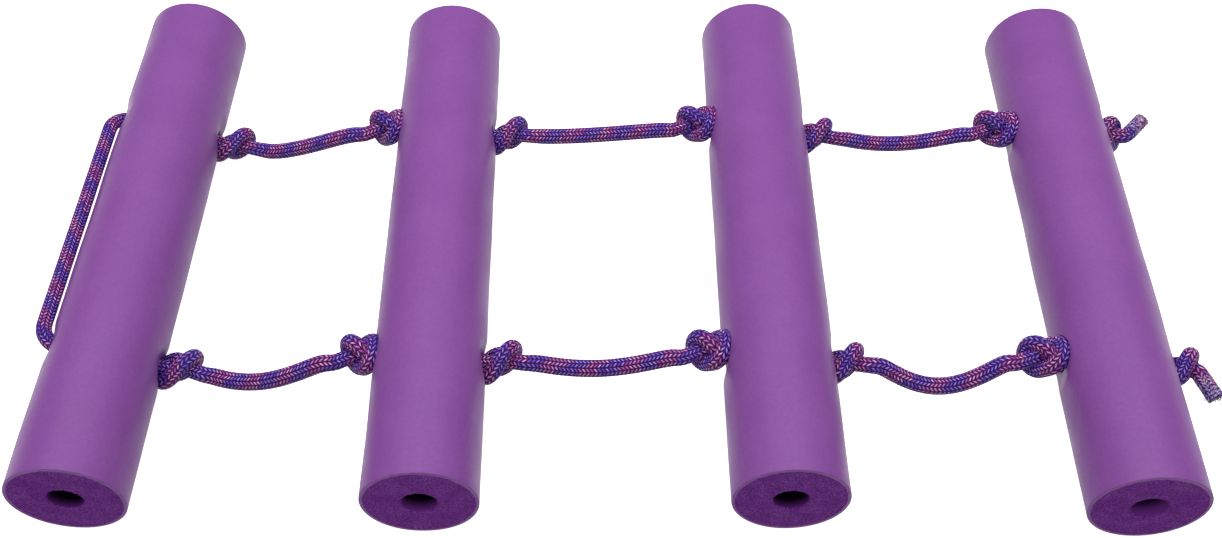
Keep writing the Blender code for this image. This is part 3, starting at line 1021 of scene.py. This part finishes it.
def singed_material():
    """Melted and darkened yarn where the rope was cut."""
    n = Nodes("singed_yarn")
    patches = n.noise(n.place(), 900.0, 2.0)
    colour = n.mix(n.step(patches, 0.4, 0.62), linear(34, 26, 46), linear(112, 66, 128))
    n.set(Base_Color=colour, Roughness=0.5, Normal=n.bump(patches, 0.0002, 0.4))
    return n.material


# The stage


def add_floor():
    mesh = bpy.data.meshes.new("floor")
    size = 6.0
    level = -0.0006
    corners = [(-size, -size, level), (size, -size, level), (size, size, level), (-size, size, level)]
    mesh.from_pydata(corners, [], [(0, 1, 2, 3)])
    n = Nodes("pale_floor")
    n.set(
        Base_Color=(0.9, 0.9, 0.9, 1.0), Roughness=1.0, Emission_Color=(1, 1, 1, 1), Emission_Strength=0.9
    )
    mesh.materials.append(n.material)
    floor = bpy.data.objects.new("floor", mesh)
    bpy.context.scene.collection.objects.link(floor)
    floor.visible_diffuse = False  # so its glow doesn't light the object from below


def add_world():
    """A white studio: bright overhead and dimmer towards the floor."""
    world = bpy.data.worlds.new("studio")
    world.use_nodes = True
    bpy.context.scene.world = world
    tree = world.node_tree
    direction = tree.nodes.new("ShaderNodeTexCoord").outputs["Generated"]
    split = tree.nodes.new("ShaderNodeSeparateXYZ")
    tree.links.new(direction, split.inputs[0])
    ramp = tree.nodes.new("ShaderNodeValToRGB")
    ramp.color_ramp.elements[0].position = 0.0
    ramp.color_ramp.elements[0].color = (0.12, 0.12, 0.12, 1)
    ramp.color_ramp.elements[1].position = 0.75
    ramp.color_ramp.elements[1].color = (1, 1, 1, 1)
    lift = tree.nodes.new("ShaderNodeMath")
    lift.operation = "MULTIPLY_ADD"
    lift.inputs[1].default_value = 0.5
    lift.inputs[2].default_value = 0.5
    tree.links.new(split.outputs[2], lift.inputs[0])
    tree.links.new(lift.outputs[0], ramp.inputs[0])
    tree.links.new(ramp.outputs[0], tree.nodes["Background"].inputs["Color"])
    tree.nodes["Background"].inputs["Strength"].default_value = 0.40


def add_light(name, location, target, size, power):
    lamp = bpy.data.lights.new(name, "AREA")
    lamp.shape = "RECTANGLE"
    lamp.size, lamp.size_y = size
    lamp.energy = power
    light = bpy.data.objects.new(name, lamp)
    light.location = location
    light.rotation_mode = "QUATERNION"
    light.rotation_quaternion = (Vector(target) - Vector(location)).to_track_quat("-Z", "Y")
    bpy.context.scene.collection.objects.link(light)


def add_camera():
    lens = bpy.data.cameras.new("camera")
    lens.lens = 38.6
    lens.sensor_width = 36.0
    camera = bpy.data.objects.new("camera", lens)
    camera.location = (-0.0150, -0.5687, 0.7155)
    camera.rotation_euler = [math.radians(angle) for angle in (38.582, -0.016, 0.032)]
    bpy.context.scene.collection.objects.link(camera)
    bpy.context.scene.camera = camera


def build_stage():
    bpy.context.scene.view_settings.view_transform = "Standard"
    add_floor()
    add_world()
    add_light("overhead", (0.0, 0.35, 1.4), (0.0, 0.0, 0.0), (2.0, 0.9), 19.5)
    add_light("front", (-0.4, -1.6, 1.2), (0.0, 0.0, 0.0), (1.6, 0.8), 4.0)
    add_camera()


build_stage()
ROPE = Rope()
YARN = rope_material()
add_rope(ROPE, YARN)
add_loop(ROPE, YARN)
add_rungs(ROPE, foam_material(), cut_foam_material(), bore_material())
add_sleeves(clear_material(), singed_material())
